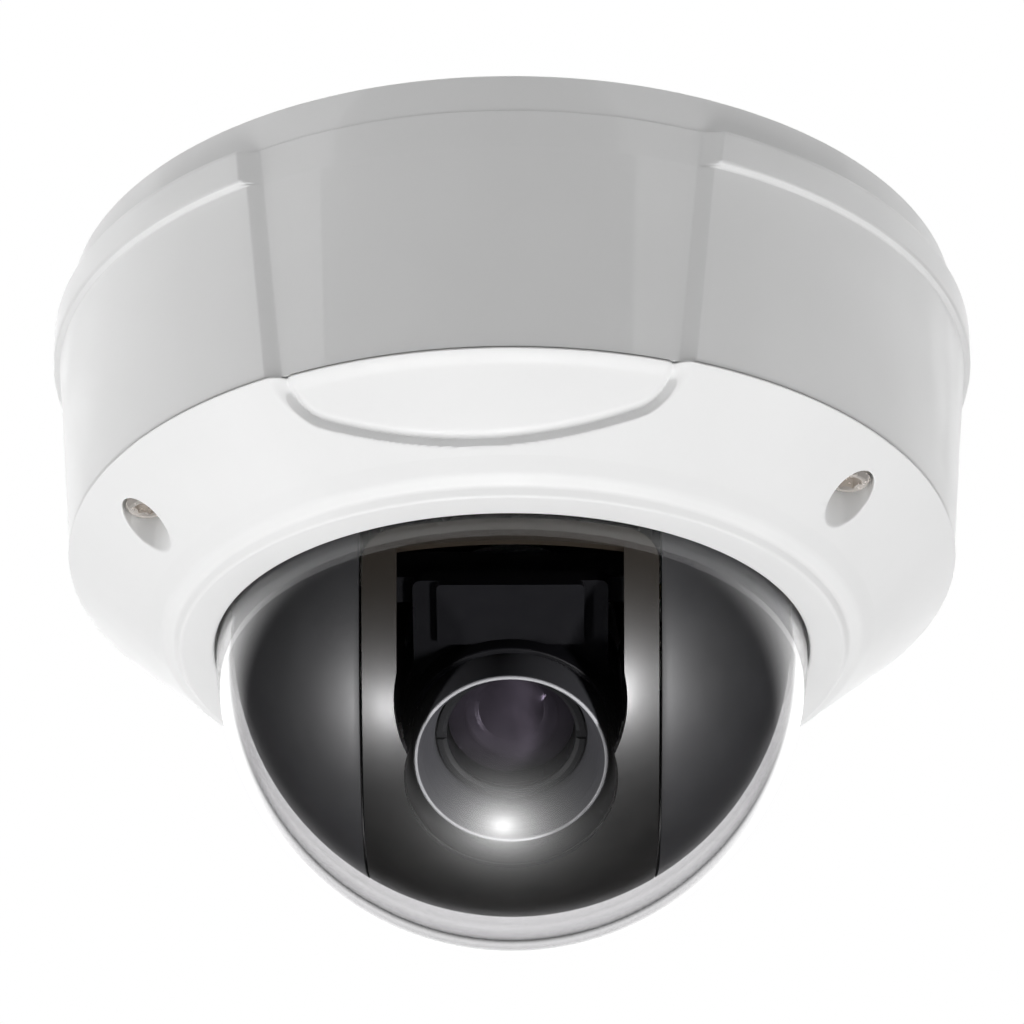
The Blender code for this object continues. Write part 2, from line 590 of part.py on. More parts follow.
def lens(roll):
    cup = rod("sensor_housing", "anodised_black", 18.0, -15.0, -3.2, LENS_STEPS, parent=roll)
    cut(cup, rod("sensor_room", None, 16.2, -13.2, 0, LENS_STEPS, parent=roll),
        block("ribbon_way", None, (-6, -8, -18), (6, -5, -12), parent=roll))
    block("sensor_board", "board_green", (-11, -11, -10.5), (11, 11, -9.3), parent=roll)
    block("image_sensor", "silicon", (-5, -4.5, -9.0), (5, 4.5, -7.5), parent=roll)
    turned("filter_holder", "black_plastic", [(12, -4.4), (12, -7.2), (4.5, -7.2), (4.5, -4.4)],
           LENS_STEPS, parent=roll)
    turned("lens_mount", "aluminium", [
        (18.3, 2.1), (18.3, 0.1), (16.2, 0.1), (16.2, -2.9), (13.3, -2.9), (13.3, 2.1)],
        LENS_STEPS, parent=roll)
    turned("lens_barrel", "anodised_black", [
        (BARREL_R, 30.0), (BARREL_R, -2.5), (BORE_R, -2.5), (BORE_R, 30.0)], LENS_STEPS, parent=roll)
    turned("rear_element", "coated_glass", [
        (0, 4.0), (5, 3.6), (10.4, 2.0), (10.4, 0.5), (5, -0.8), (0, -1.2)], LENS_STEPS,
        closed=False, parent=roll)
    turned("front_element", "coated_glass", [
        (0, 30.0), (4, 29.6), (7.5, 28.4), (10.4, 26.4), (10.4, 23.5), (0, 22.8)], LENS_STEPS,
        closed=False, parent=roll)
    turned("retaining_ring", "anodised_black", [
        (12.2, 31.6), (12.2, 30.4), (10.6, 30.4), (10.6, 31.2), (11.0, 31.6)], LENS_STEPS, parent=roll)
    turned("front_barrel", "anodised_black", [
        (15.5, RIM_AT), (RIM_R, RIM_AT - 0.3), (15.9, 33.0), (15.9, 25.0), (13.3, 25.0),
        (13.3, 30.5), (12.5, 30.5), (12.5, 31.8), (15.2, RIM_AT - 0.4)], LENS_STEPS, parent=roll)


def lens_rings(roll):
    zoom = turned("zoom_ring", "black_plastic", [
        (ZOOM_RING_R, 10.8), (ZOOM_RING_R, 3.9), (13.3, 3.9), (13.3, 10.8)], LENS_STEPS, parent=roll)
    focus = turned("focus_ring", "grey_plastic", [
        (17.9, 24.2), (FOCUS_RING_R, 23.7), (FOCUS_RING_R, 12.5), (17.9, 12.0), (13.3, 12.0),
        (13.3, 24.2)], LENS_STEPS, parent=roll)
    for name, ring, z, radius, angle in (("zoom", zoom, 7.3, ZOOM_RING_R, -110),
                                         ("focus", focus, 18.0, FOCUS_RING_R, -70)):
        a = math.radians(angle)
        start = radius + 0.1
        at = (start * math.cos(a), start * math.sin(a), z)
        turn = Vector((math.cos(a), math.sin(a), 0)).to_track_quat("Z", "Y").to_euler()
        degrees = [math.degrees(t) for t in turn]
        cut(ring, rod(f"{name}_lock_way", None, 1.4, -2.8, 3, 12, parent=roll, at=at, turn=degrees))
        small = min(3.2, 20.2 - start)
        screw = rod(f"{name}_lock_screw", "brass", 1.8, 0.15, small, 14, parent=roll, at=at,
                    turn=degrees)
        join(screw, rod(f"{name}_lock_shank", None, 1.1, -2.4, 0.4, 12, parent=roll, at=at,
                        turn=degrees))


clear_scene()
PARTS = new_collection("dome_camera")
CUTTERS = new_collection("cutters")

lift_axis = empty("cover_lift_axis")
pan_axis = empty("pan_axis", turn=(0, 0, PAN_REST))
tilt_axis = empty("tilt_axis", pan_axis, (0, 0, PIVOT_Z), (90 + LENS_DOWN, 0, 0))
roll_axis = empty("roll_axis", tilt_axis)

housing_recess, cover_recess = recess_cutters()
housing(housing_recess)
base_fittings()
electronics()
cover(cover_recess, lift_axis)
bubble(lift_axis)
cover_screws(lift_axis)
pan_stage(pan_axis)
liners(pan_axis)
tilting_head(tilt_axis)
lens(roll_axis)
lens_rings(roll_axis)
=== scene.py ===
"""Looks of the ceiling dome camera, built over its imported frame.

Lengths in the helpers are millimetres. +Z points into the ceiling and the panel faces -Y.
"""
import math

import bmesh
import bpy
import numpy as np
from mathutils import Matrix, Vector


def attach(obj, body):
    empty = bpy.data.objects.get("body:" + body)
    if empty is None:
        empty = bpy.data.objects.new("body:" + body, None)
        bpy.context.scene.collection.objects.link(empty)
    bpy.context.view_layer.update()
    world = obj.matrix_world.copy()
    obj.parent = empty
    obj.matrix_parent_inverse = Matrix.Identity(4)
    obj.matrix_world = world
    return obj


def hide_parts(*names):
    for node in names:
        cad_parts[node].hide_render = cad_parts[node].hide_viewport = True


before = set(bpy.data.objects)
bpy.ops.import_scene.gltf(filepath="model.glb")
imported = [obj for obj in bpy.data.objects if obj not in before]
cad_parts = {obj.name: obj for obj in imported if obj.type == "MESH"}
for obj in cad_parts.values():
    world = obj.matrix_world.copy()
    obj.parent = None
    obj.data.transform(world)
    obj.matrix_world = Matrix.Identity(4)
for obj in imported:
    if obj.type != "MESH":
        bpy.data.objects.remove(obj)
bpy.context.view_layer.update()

MM = 0.001
PIVOT = Vector((0.0, 0.0, -63.6))
PAN = math.radians(4.0)
LENS_DOWN = math.radians(58.0)
LENS_AXIS = Vector((math.cos(LENS_DOWN) * math.sin(PAN), -math.cos(LENS_DOWN) * math.cos(PAN),
                    -math.sin(LENS_DOWN)))
ACROSS = Vector((math.cos(PAN), math.sin(PAN), 0.0))
UPWARD = LENS_AXIS.cross(ACROSS)
SCREWS = {"front_left": -60.0, "front_right": 60.0, "rear": 180.0}
SCREW_REACH = 67.5
HOLE_REACH = 58.0
SEAM_Z = -49.8
PANEL_TOP = -7.0
SLOPE_TOP = -14.0
DOME_Z = -67.4
BUBBLE_OUTER = 50.25
BUBBLE_WALL = 2.2
LINER_OUTER = 47.65
LINER_INNER = 45.7
BAND_HALF = 23.8
FLOOR_Z = -1.62


def frame_matrix(x, y, z, origin):
    """Matrix that takes local axes x, y, z at origin to the row frame, in millimetres."""
    made = Matrix.Identity(4)
    for column, axis in enumerate((x, y, z, origin)):
        for row in range(3):
            made[row][column] = axis[row]
    return made


HEAD = frame_matrix(ACROSS, UPWARD, LENS_AXIS, PIVOT)
PAN_TURN = Matrix.Translation(PIVOT) @ Matrix.Rotation(PAN, 4, "Z")
DARK_PARTS = bpy.data.collections.new("dark_parts")


# ---------------------------------------------------------------- looks

def noise(tree, where, scale, detail=3.0):
    made = tree.nodes.new("ShaderNodeTexNoise")
    made.inputs["Scale"].default_value = scale
    made.inputs["Detail"].default_value = detail
    made.inputs["Roughness"].default_value = 0.5
    tree.links.new(where, made.inputs["Vector"])
    return made.outputs["Fac"]


def spread(tree, value, low, high, from_low=0.3, from_high=0.7):
    made = tree.nodes.new("ShaderNodeMapRange")
    made.inputs["From Min"].default_value = from_low
    made.inputs["From Max"].default_value = from_high
    made.inputs["To Min"].default_value = low
    made.inputs["To Max"].default_value = high
    tree.links.new(value, made.inputs["Value"])
    return made.outputs["Result"]


def mixed(tree, factor, first, second):
    made = tree.nodes.new("ShaderNodeMix")
    made.data_type = "RGBA"
    tree.links.new(factor, made.inputs["Factor"])
    made.inputs["A"].default_value = (*first, 1.0)
    made.inputs["B"].default_value = (*second, 1.0)
    return made.outputs["Result"]


def step_of(tree, kind, operation, first, second=None):
    """Adds a maths node of two inputs, each a socket or a constant."""
    made = tree.nodes.new(kind)
    made.operation = operation
    for socket, value in zip(made.inputs, (first, second)):
        if isinstance(value, bpy.types.NodeSocket):
            tree.links.new(value, socket)
        elif value is not None:
            socket.default_value = value
    return made.outputs["Value"]


def finish_of(name, colour, rough, metallic=0.0, vary=0.08, patch=60.0, grain=900.0, bump=0.02,
              rough_vary=0.06, stretch=(1.0, 1.0, 1.0), **sockets):
    """Mottled colour, uneven roughness and a fine grain. Sizes of the noise are per metre."""
    made = bpy.data.materials.new(name)
    made.use_nodes = True
    tree = made.node_tree
    shader = tree.nodes["Principled BSDF"]
    where = tree.nodes.new("ShaderNodeTexCoord").outputs["Object"]
    pulled = tree.nodes.new("ShaderNodeMapping")
    pulled.inputs["Scale"].default_value = stretch
    tree.links.new(where, pulled.inputs["Vector"])
    stretched = pulled.outputs["Vector"]
    dark = [c * (1.0 - vary) for c in colour]
    light = [min(1.0, c * (1.0 + vary)) for c in colour]
    tint = mixed(tree, spread(tree, noise(tree, stretched, patch), 0.0, 1.0), dark, light)
    tree.links.new(tint, shader.inputs["Base Color"])
    uneven = spread(tree, noise(tree, stretched, patch * 3.1, 4.0), rough - rough_vary,
                    rough + rough_vary)
    tree.links.new(uneven, shader.inputs["Roughness"])
    relief = tree.nodes.new("ShaderNodeBump")
    relief.inputs["Strength"].default_value = 0.5
    relief.inputs["Distance"].default_value = bump * MM
    tree.links.new(noise(tree, stretched, grain, 2.0), relief.inputs["Height"])
    tree.links.new(relief.outputs["Normal"], shader.inputs["Normal"])
    shader.inputs["Metallic"].default_value = metallic
    for socket, value in sockets.items():
        shader.inputs[socket.replace("_", " ")].default_value = value
    return made


LOOKS = {
    "white_paint": finish_of("white_paint", (0.80, 0.80, 0.80), 0.45, vary=0.015, patch=35,
                             grain=1400, bump=0.012, Specular_IOR_Level=0.4),
    "black_plastic": finish_of("black_plastic", (0.004, 0.004, 0.0045), 0.46, vary=0.2, patch=50,
                               grain=1500, bump=0.006, rough_vary=0.02, Coat_Weight=0.35,
                               Coat_Roughness=0.32),
    "grey_plastic": finish_of("grey_plastic", (0.05, 0.05, 0.054), 0.5, patch=90, grain=1600),
    "lens_ring": finish_of("lens_ring", (0.004, 0.004, 0.0045), 0.6, patch=120, grain=2200,
                           bump=0.006, Specular_IOR_Level=0.12),
    "anodised_black": finish_of("anodised_black", (0.03, 0.03, 0.032), 0.42, patch=120, grain=2200,
                                bump=0.006, Specular_IOR_Level=0.4),
    "black_steel": finish_of("black_steel", (0.010, 0.010, 0.010), 0.55, patch=90, grain=1500,
                             Specular_IOR_Level=0.2),
    "rubber": finish_of("rubber", (0.022, 0.022, 0.022), 0.8, patch=120, grain=900, bump=0.04),
    "silicone": finish_of("silicone", (0.33, 0.34, 0.35), 0.6, patch=80, grain=1200),
    "zinc_steel": finish_of("zinc_steel", (0.60, 0.60, 0.58), 0.36, 0.6, vary=0.12, patch=140,
                            grain=2600, bump=0.008, stretch=(1, 0.15, 1)),
    "stainless": finish_of("stainless", (0.66, 0.62, 0.58), 0.24, 0.7, vary=0.08, patch=260,
                           grain=3000, bump=0.004),
    "brass": finish_of("brass", (0.76, 0.57, 0.25), 0.30, 0.7, vary=0.15, patch=240, grain=2600,
                       bump=0.006),
    "aluminium": finish_of("aluminium", (0.74, 0.75, 0.76), 0.34, 0.6, vary=0.06, patch=160,
                           grain=2400, bump=0.008, stretch=(1, 1, 0.1)),
    "board_green": finish_of("board_green", (0.015, 0.14, 0.05), 0.4, vary=0.25, patch=420,
                             grain=1800, bump=0.02),
    "terminal_green": finish_of("terminal_green", (0.04, 0.32, 0.10), 0.45, patch=90, grain=1500),
    "switch_white": finish_of("switch_white", (0.78, 0.78, 0.75), 0.5, vary=0.04, patch=200,
                              grain=1800),
    "silicon": finish_of("silicon", (0.05, 0.05, 0.09), 0.12, vary=0.3, patch=900, grain=3000,
                         bump=0.002, rough_vary=0.03),
    "paper": finish_of("paper", (0.82, 0.82, 0.79), 0.9, vary=0.05, patch=300, grain=1200,
                       bump=0.06),
    "neck_plastic": finish_of("neck_plastic", (0.0012, 0.0012, 0.0016), 0.5, patch=120, grain=1700,
                              bump=0.014, rough_vary=0.03, Specular_IOR_Level=0.08),
    # Coated glass: the purple specular tint is the coating's own, while the faint diffuse base colour
    # is a painted reflection, the haze seen in the lens.
    "glass_coated": finish_of("glass_coated", (0.013, 0.011, 0.0145), 0.05, vary=0.3, patch=200,
                              grain=500, bump=0.001, rough_vary=0.02, Specular_IOR_Level=0.7,
                              Coat_Weight=0.5, Coat_Roughness=0.03,
                              Specular_Tint=(0.85, 0.70, 1.0, 1.0)),
    "clear_bubble": finish_of("clear_bubble", (0.992, 0.986, 0.996), 0.012, vary=0.003, patch=30,
                              grain=25, bump=0.004, rough_vary=0.010, Transmission_Weight=1.0,
                              IOR=1.585),
}


def tint_beyond(made, axis, start, width, colour):
    """Changes a look's colour beyond a distance from the origin along an axis."""
    tree = made.node_tree
    shader = tree.nodes["Principled BSDF"]
    where = tree.nodes.new("ShaderNodeTexCoord").outputs["Object"]
    along = step_of(tree, "ShaderNodeVectorMath", "DOT_PRODUCT", where, axis)
    blend = tree.nodes.new("ShaderNodeMix")
    blend.data_type = "RGBA"
    tree.links.new(spread(tree, along, 0.0, 1.0, start * MM, (start + width) * MM),
                   blend.inputs["Factor"])
    tree.links.new(shader.inputs["Base Color"].links[0].from_socket, blend.inputs["A"])
    blend.inputs["B"].default_value = (*colour, 1.0)
    tree.links.new(blend.outputs["Result"], shader.inputs["Base Color"])
    return made


# The lens tube turns lighter grey past its front rim: a painted highlight standing in for the bright
# edge line of the rim.
LOOKS["lens_tube"] = tint_beyond(
    finish_of("lens_tube", (0.018, 0.018, 0.020), 0.42, patch=120, grain=2200, bump=0.006,
              rough_vary=0.02, Specular_IOR_Level=0.4),
    LENS_AXIS, PIVOT.dot(LENS_AXIS) + 38.95, 0.15, (0.14, 0.14, 0.145))
# The band turns warm brown towards its top: a painted warm reflection, not a colour of the plastic.
LOOKS["band_plastic"] = tint_beyond(
    finish_of("band_plastic", (0.0014, 0.0013, 0.0012), 0.46, vary=0.4, patch=160, grain=1700,
              bump=0.006, rough_vary=0.02, stretch=(1, 1, 0.12), Specular_IOR_Level=0.26,
              Coat_Weight=0.3, Coat_Roughness=0.32),
    Vector((0.0, 0.0, 1.0)), -98.0, 34.0, (0.0070, 0.0052, 0.0034))


# ---------------------------------------------------------------- mesh helpers

def shade(obj, angle=32):
    obj.data.shade_smooth()
    obj.data.set_sharp_from_angle(angle=math.radians(angle))
    return obj


def solid(name, points, faces, look, matrix=None, angle=32):
    """Object from points in millimetres, turned into the row frame by matrix."""
    mesh = bpy.data.meshes.new(name)
    spots = np.asarray(points, float).reshape(-1, 3)
    if matrix is not None:
        turned = np.array(matrix)
        spots = spots @ turned[:3, :3].T + turned[:3, 3]
    mesh.from_pydata((spots * MM).tolist(), [], faces)
    form = bmesh.new()
    form.from_mesh(mesh)
    bmesh.ops.remove_doubles(form, verts=form.verts, dist=1e-7)
    bmesh.ops.recalc_face_normals(form, faces=form.faces)
    form.to_mesh(mesh)
    form.free()
    obj = bpy.data.objects.new(name, mesh)
    bpy.context.scene.collection.objects.link(obj)
    if look is not None:
        mesh.materials.append(LOOKS[look])
    return shade(obj, angle)


def ring_faces(rows, columns, loop_rows):
    """Quads between the rows of a grid whose columns close on themselves."""
    faces = []
    for i in range(rows if loop_rows else rows - 1):
        j = (i + 1) % rows
        for a in range(columns):
            b = (a + 1) % columns
            faces.append((i * columns + a, i * columns + b, j * columns + b, j * columns + a))
    return faces


def thick_grid(rows, cols):
    """Faces of two equal grids of points, one after the other, and of the rim between them."""
    base = rows * cols
    faces = []
    for layer in (0, base):
        for i in range(rows - 1):
            for j in range(cols - 1):
                k = layer + i * cols + j
                faces.append((k, k + 1, k + cols + 1, k + cols))
    for i in range(rows - 1):
        for j in (0, cols - 1):
            k = i * cols + j
            faces.append((k, k + cols, base + k + cols, base + k))
    for i in (0, rows - 1):
        for j in range(cols - 1):
            k = i * cols + j
            faces.append((k, k + 1, base + k + 1, base + k))
    return faces


def rounded(corners, closed=True, bits=4):
    """Outline through (x, y, radius) corners, each rounded by its own radius."""
    made = []
    count = len(corners)
    for i, (x, y, radius) in enumerate(corners):
        here = np.array((x, y), float)
        if radius <= 0 or (not closed and i in (0, count - 1)):
            made.append(tuple(here))
            continue
        before = np.array(corners[i - 1][:2], float) - here
        after = np.array(corners[(i + 1) % count][:2], float) - here
        room = min(np.linalg.norm(before), np.linalg.norm(after)) * 0.48
        before /= np.linalg.norm(before)
        after /= np.linalg.norm(after)
        half = math.acos(max(-1.0, min(1.0, float(before @ after)))) / 2
        reach = min(radius / math.tan(half), room)
        start, end = here + before * reach, here + after * reach
        for k in range(bits + 1):
            t = k / bits
            made.append(tuple((1 - t) ** 2 * start + 2 * t * (1 - t) * here + t * t * end))
    return made


def lathe(name, corners, look, matrix=None, steps=160, closed=True, bits=4, angle=32, ribs=None):
    """Turns an outline of (radius, z, rounding) about Z. ribs is (low z, high z, count, depth)."""
    outline = rounded(corners, closed, bits)
    turn = np.arange(steps) * 2 * math.pi / steps
    points = []
    for r, z in outline:
        radius = np.full(steps, max(r, 0.0))
        if ribs and ribs[0] <= z <= ribs[1]:
            radius = radius - ribs[3] * (0.5 - 0.5 * np.cos(turn * ribs[2])) ** 2
        points.append(np.stack([radius * np.cos(turn), radius * np.sin(turn),
                                np.full(steps, z)], 1))
    faces = ring_faces(len(outline), steps, closed)
    return solid(name, np.concatenate(points), faces, look, matrix, angle)


def rod(name, radius, low, high, sides=32, look=None, matrix=None):
    return lathe(name, [(0, high, 0), (radius, high, 0), (radius, low, 0), (0, low, 0)], look,
                 matrix, sides, closed=False)


def block(name, low, high, look=None, matrix=None):
    points = [(x, y, z) for z in (low[2], high[2]) for y in (low[1], high[1])
              for x in (low[0], high[0])]
    faces = [(0, 1, 3, 2), (4, 6, 7, 5), (0, 4, 5, 1), (2, 3, 7, 6), (0, 2, 6, 4), (1, 5, 7, 3)]
    return solid(name, points, faces, look, matrix)


def slab(name, outline, low, high, look=None, matrix=None):
    """Outline in x, y pushed from low to high along z."""
    count = len(outline)
    points = [(x, y, z) for z in (low, high) for x, y in outline]
    faces = [tuple(range(count)), tuple(range(count, 2 * count))]
    for i in range(count):
        j = (i + 1) % count
        faces.append((i, j, count + j, count + i))
    return solid(name, points, faces, look, matrix)


def settle(obj):
    """Replaces the mesh by what its modifiers make of it."""
    graph = bpy.context.evaluated_depsgraph_get()
    made = bpy.data.meshes.new_from_object(obj.evaluated_get(graph))
    obj.modifiers.clear()
    old = obj.data
    obj.data = made
    bpy.data.meshes.remove(old)
    return obj


def combine(obj, operation, *tools):
    for tool in tools:
        change = obj.modifiers.new(tool.name, "BOOLEAN")
        change.operation = operation
        change.solver = "EXACT"
        change.object = tool
    settle(obj)
    for tool in tools:
        bpy.data.objects.remove(tool)
    return obj


def smooth(t):
    t = np.clip(t, 0.0, 1.0)
    return t * t * (3 - 2 * t)


def polar(radius, angle):
    a = math.radians(angle)
    return radius * math.sin(a), -radius * math.cos(a)


def arc(radius, start, end, count, cx=0.0, cy=0.0):
    turn = [math.radians(start + (end - start) * i / count) for i in range(count + 1)]
    return [(cx + radius * math.cos(a), cy + radius * math.sin(a)) for a in turn]


def wear(obj, body, look, *nodes):
    """obj stands for those CAD nodes and rides on body."""
    if body in ("pan", "tilt", "roll", "zoom", "focus"):
        DARK_PARTS.objects.link(obj)
    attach(obj, body)
    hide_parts(*nodes)
    return obj


# ---------------------------------------------------------------- housing

def wall(z):
    """Radius of the tapering side of the housing."""
    return 78.8 - (z - SLOPE_TOP) * (78.8 - 75.8) / (SEAM_Z - SLOPE_TOP)


def panel(z):
    """Radius of the recessed front panel."""
    if z > PANEL_TOP:
        return 77.4
    return 77.5 - min(z - SLOPE_TOP, 0.0) * (77.5 - 74.55) / (SEAM_Z - SLOPE_TOP)


def housing():
    """Grid whose columns follow the slanting sides of the front panel."""
    outer = [(76.5, 0.0), (77.1, -0.12), (77.34, -0.4), (77.4, -0.8), (77.4, -6.5), (77.44, -6.8),
             (77.62, -6.98), (79.2, -7.12), (79.7, -7.35), (79.95, -7.8), (80.0, -8.3),
             (80.0, -12.9), (79.94, -13.4), (79.7, -13.75), (79.3, -13.95), (78.98, -14.08),
             (78.82, -14.3), (78.77, -14.8)]
    outer += [(wall(z), z) for z in np.linspace(-18, -49.2, 9)]
    outer += [(wall(-49.5) - 0.04, -49.5), (wall(-49.7) - 0.16, -49.7), (75.35, SEAM_Z)]
    rows = [(r, z, min(r, panel(z))) for r, z in outer]
    inner = [(72.4, SEAM_Z), (72.4, -40), (72.4, -6), (72.0, -4.4), (70.8, -3.5), (60, -3.5)]
    rows += [(r, z, r) for r, z in inner]
    cells = []
    along = [0, 0.05, 0.13, 0.25, 0.5, 0.75, 0.87, 0.95, 1]
    lift = [0, 0.005, 0.05, 0.19, 0.5, 0.81, 0.95, 0.995, 1]
    for r, z, floor in rows:
        share = np.clip((z - PANEL_TOP) / (SEAM_Z - PANEL_TOP), 0, 1)
        half = 36.2 + (31.9 - 36.2) * share
        flare = 4.4 if SLOPE_TOP < z <= PANEL_TOP else 3.2
        a = math.asin(half / floor)
        b = math.asin((half + flare) / r)
        turn = [a * t for t in np.linspace(-1, 1, 61)[1:-1]]
        turn += [a + (b - a) * t for t in along]
        turn += [b + (2 * math.pi - 2 * b) * t for t in np.linspace(0, 1, 261)[1:-1]]
        turn += [2 * math.pi - a - (b - a) * t for t in reversed(along)]
        deep = np.array([0.0] * 59 + lift + [1.0] * 259 + lift[::-1])
        turn = np.array(turn)
        radius = floor + (r - floor) * deep
        cells.append(np.stack([radius * np.sin(turn), -radius * np.cos(turn),
                               np.full(len(turn), z)], 1))
    columns = len(cells[0])
    top = cells[0] / outer[0][0]

    def level(radius, z):
        return top * (radius, radius, 0.0) + (0.0, 0.0, z)

    cells = [level(0, 0), level(66, 0), level(66, -1.5), level(70, -1.5), level(70, 0), *cells,
             level(0, -3.5)]
    body = solid("housing_shell", np.concatenate(cells), ring_faces(len(cells), columns, False),
                 "white_paint", angle=28)
    adds, cuts = [], []
    for name, angle in SCREWS.items():
        x, y = polar(SCREW_REACH, angle)
        where = Matrix.Translation((x, y, 0))
        adds.append(lathe("boss_" + name, [(0, -2, 0), (5.5, -2, 0), (5.4, -44.5, 0.4),
                                           (0, -44.5, 0)], None, where, 40, closed=False))
        cuts.append(rod("boss_way_" + name, 2.3, -47, -30, 24, matrix=where))
    for i, angle in enumerate((0, 90, 180, 270)):
        x, y = polar(HOLE_REACH, angle)
        cuts.append(rod(f"ceiling_way_{i}", 2.5, -9, 5, 32, matrix=Matrix.Translation((x, y, 0))))
    cuts.append(rod("cable_way", 9.0, -9, 5, 48, matrix=Matrix.Translation((42, 33, 0))))
    combine(body, "UNION", *adds)
    combine(body, "DIFFERENCE", *cuts)
    shade(body, 28)
    wear(body, "base", "white_paint", "base_housing")


# ---------------------------------------------------------------- cover

def shoulder(r):
    """Height of the sloping shoulder at a distance from the axis."""
    return -50.9 - (75.3 - r) * 12.7 / 14.4


def cover():
    """Turned shell whose front shoulder is sunk by a rounded rectangle with a groove at its edge."""
    corners = [(71.9, -45, 0.2), (71.9, -46.2, 0), (70.8, -46.2, 0), (70.8, -48.4, 0),
               (71.9, -48.4, 0), (71.9, -50.1, 0.2), (75.95, -50.1, 0.25), (75.95, -50.35, 1.6),
               (61.9, -62.7, 3.0), (59.6, -65.0, 3.5), (57.4, -65.9, 1.5), (56.5, -67.4, 0.9),
               (50.55, -67.4, 0.7), (50.55, -64.6, 0), (56.3, -64.6, 0), (56.3, -61.0, 0),
               (61.4, -61.0, 0), (61.4, -59.1, 1.5), (70.0, -51.5, 1.5), (70.0, -45, 0.2)]
    outline = rounded(corners, True, 6)
    fine = []
    for i, (r, z) in enumerate(outline):
        nr, nz = outline[(i + 1) % len(outline)]
        long = math.hypot(nr - r, nz - z)
        slope = long > 0.5 and z < -50.2 and r - 61 > (-z - 62) * 0.6
        bits = int(long / 0.3) + 1 if slope else 1
        for k in range(bits):
            fine.append((r + (nr - r) * k / bits, z + (nz - z) * k / bits))
    front = np.radians(np.linspace(-33, 33, 265))
    rest = np.radians(np.linspace(33, 327, 197))[1:-1]
    turn = np.concatenate([front, rest])
    half, back, corner = 32.3, 63.6, 6.5
    cells = []
    for r, z in fine:
        radius, height = np.full(len(turn), r), np.full(len(turn), z)
        if z <= -50.05 and r > 56.2 and z < shoulder(r) + 1.6:
            x, y = r * np.sin(turn), -r * np.cos(turn)
            wide = 0.75 + 2.2 * smooth(np.array((z + 56.5) / 6.0))
            qx, qy = np.abs(x) - (half - corner), y + back + corner
            far = np.hypot(np.maximum(qx, 0), np.maximum(qy, 0))
            far = far + np.minimum(np.maximum(qx, qy), 0) - corner
            far = np.where(y < 0, far, 99.0)
            depth = 1.25 - 0.25 * smooth(np.array((-z - 50.5) / 9.0))
            sink = depth * smooth((wide * 0.8 - far) / wide)
            sink += 0.5 * np.exp(-((far + 0.25) / 0.6) ** 2)
            lean = math.radians(48.6) * float(smooth(np.array((-z - 50.6) / 3.0)))
            radius = radius - sink * math.cos(lean)
            height = height + sink * math.sin(lean) * 0.9
        cells.append(np.stack([radius * np.sin(turn), -radius * np.cos(turn), height], 1))
    body = solid("cover_shell", np.concatenate(cells), ring_faces(len(cells), len(turn), True),
                 "white_paint", angle=30)
    adds, cuts = [], []
    for name, angle in SCREWS.items():
        x, y = polar(SCREW_REACH, angle)
        around = np.radians(np.arange(48) * 7.5)
        adds.append(well_shape("tower_" + name, x, y, around,
                               [(5.7, -50.2, None), (5.7, None, 1.4)]))
        cuts.append(well_shape("well_" + name, x, y, around,
                               [(4.0, -50.6, None), (4.0, None, 0.45), (4.12, None, 0.15),
                                (4.4, None, -0.12), (6.0, None, -1.2)]))
        cuts.append(rod("way_" + name, 2.4, -55, -44, 24, matrix=Matrix.Translation((x, y, 0))))
        adds.append(rod("seat_" + name, 3.7, -52, -48.9, 32, matrix=Matrix.Translation((x, y, 0))))
    combine(body, "UNION", *adds)
    combine(body, "DIFFERENCE", *cuts)
    shade(body, 30)
    wear(body, "cover", "white_paint", "dome_cover")


def well_shape(name, x, y, around, rings):
    """Upright cutter whose outer rings keep a distance inside the shoulder."""
    points = []
    for radius, height, inside in rings:
        px, py = x + radius * np.cos(around), y + radius * np.sin(around)
        if height is None:
            tall = shoulder(np.hypot(px, py)) + inside
        else:
            tall = np.full(len(around), height)
        points.append(np.stack([px, py, tall], 1))
    count = len(around)
    faces = ring_faces(len(rings), count, False)
    faces.append(tuple(range(count)))
    faces.append(tuple(range((len(rings) - 1) * count, len(rings) * count)))
    return solid(name, np.concatenate(points), faces, None)


def cover_screws():
    corners = [math.radians(60 * i + 15) for i in range(6)]
    flats = [(2.1 * math.cos(a), 2.1 * math.sin(a)) for a in corners]
    for name, angle in SCREWS.items():
        x, y = polar(SCREW_REACH, angle)
        where = Matrix.Translation((x, y, 0))
        screw = lathe("socket_screw_" + name, [
            (0, -32, 0), (2.0, -32, 0.6), (2.0, -50.9, 0), (3.5, -50.9, 0.15), (3.5, -54.1, 0.2),
            (2.95, -54.8, 0.15), (0, -54.8, 0)], "stainless", where, 64, closed=False)
        combine(screw, "DIFFERENCE",
                slab("socket_" + name, flats, -55.7, -52.6, None, where),
                lathe("socket_mouth_" + name, [(0, -54.2, 0), (1.7, -54.2, 0), (2.35, -54.95, 0),
                                               (0, -54.95, 0)], None, where, 48, closed=False))
        shade(screw, 30)
        wear(screw, "cover_screw_" + name, "stainless", "cover_screw_" + name)


# ---------------------------------------------------------------- bubble

def bubble():
    inner = BUBBLE_OUTER - BUBBLE_WALL
    path = [(0, DOME_Z - inner)]
    path += arc(inner, -89.0, 0, 60, 0, DOME_Z)
    path += [(inner, -66.0), (inner, -64.0), (inner, -61.3), (inner + 0.1, -61.05),
             (inner + 0.3, -61.0), (55.3, -61.0), (55.5, -61.2), (55.5, -62.8), (55.3, -63.0),
             (50.7, -63.0), (50.4, -63.1), (BUBBLE_OUTER, -63.4), (BUBBLE_OUTER, -65.5)]
    path += arc(BUBBLE_OUTER, 0, -89.0, 60, 0, DOME_Z)
    path += [(0, DOME_Z - BUBBLE_OUTER)]
    shell = lathe("clear_dome", [(r, z, 0) for r, z in path], "clear_bubble", None, 240,
                  closed=False, angle=40)
    shell.visible_shadow = False
    wear(shell, "cover", "clear_bubble", "dome_bubble")


# ---------------------------------------------------------------- liner and band

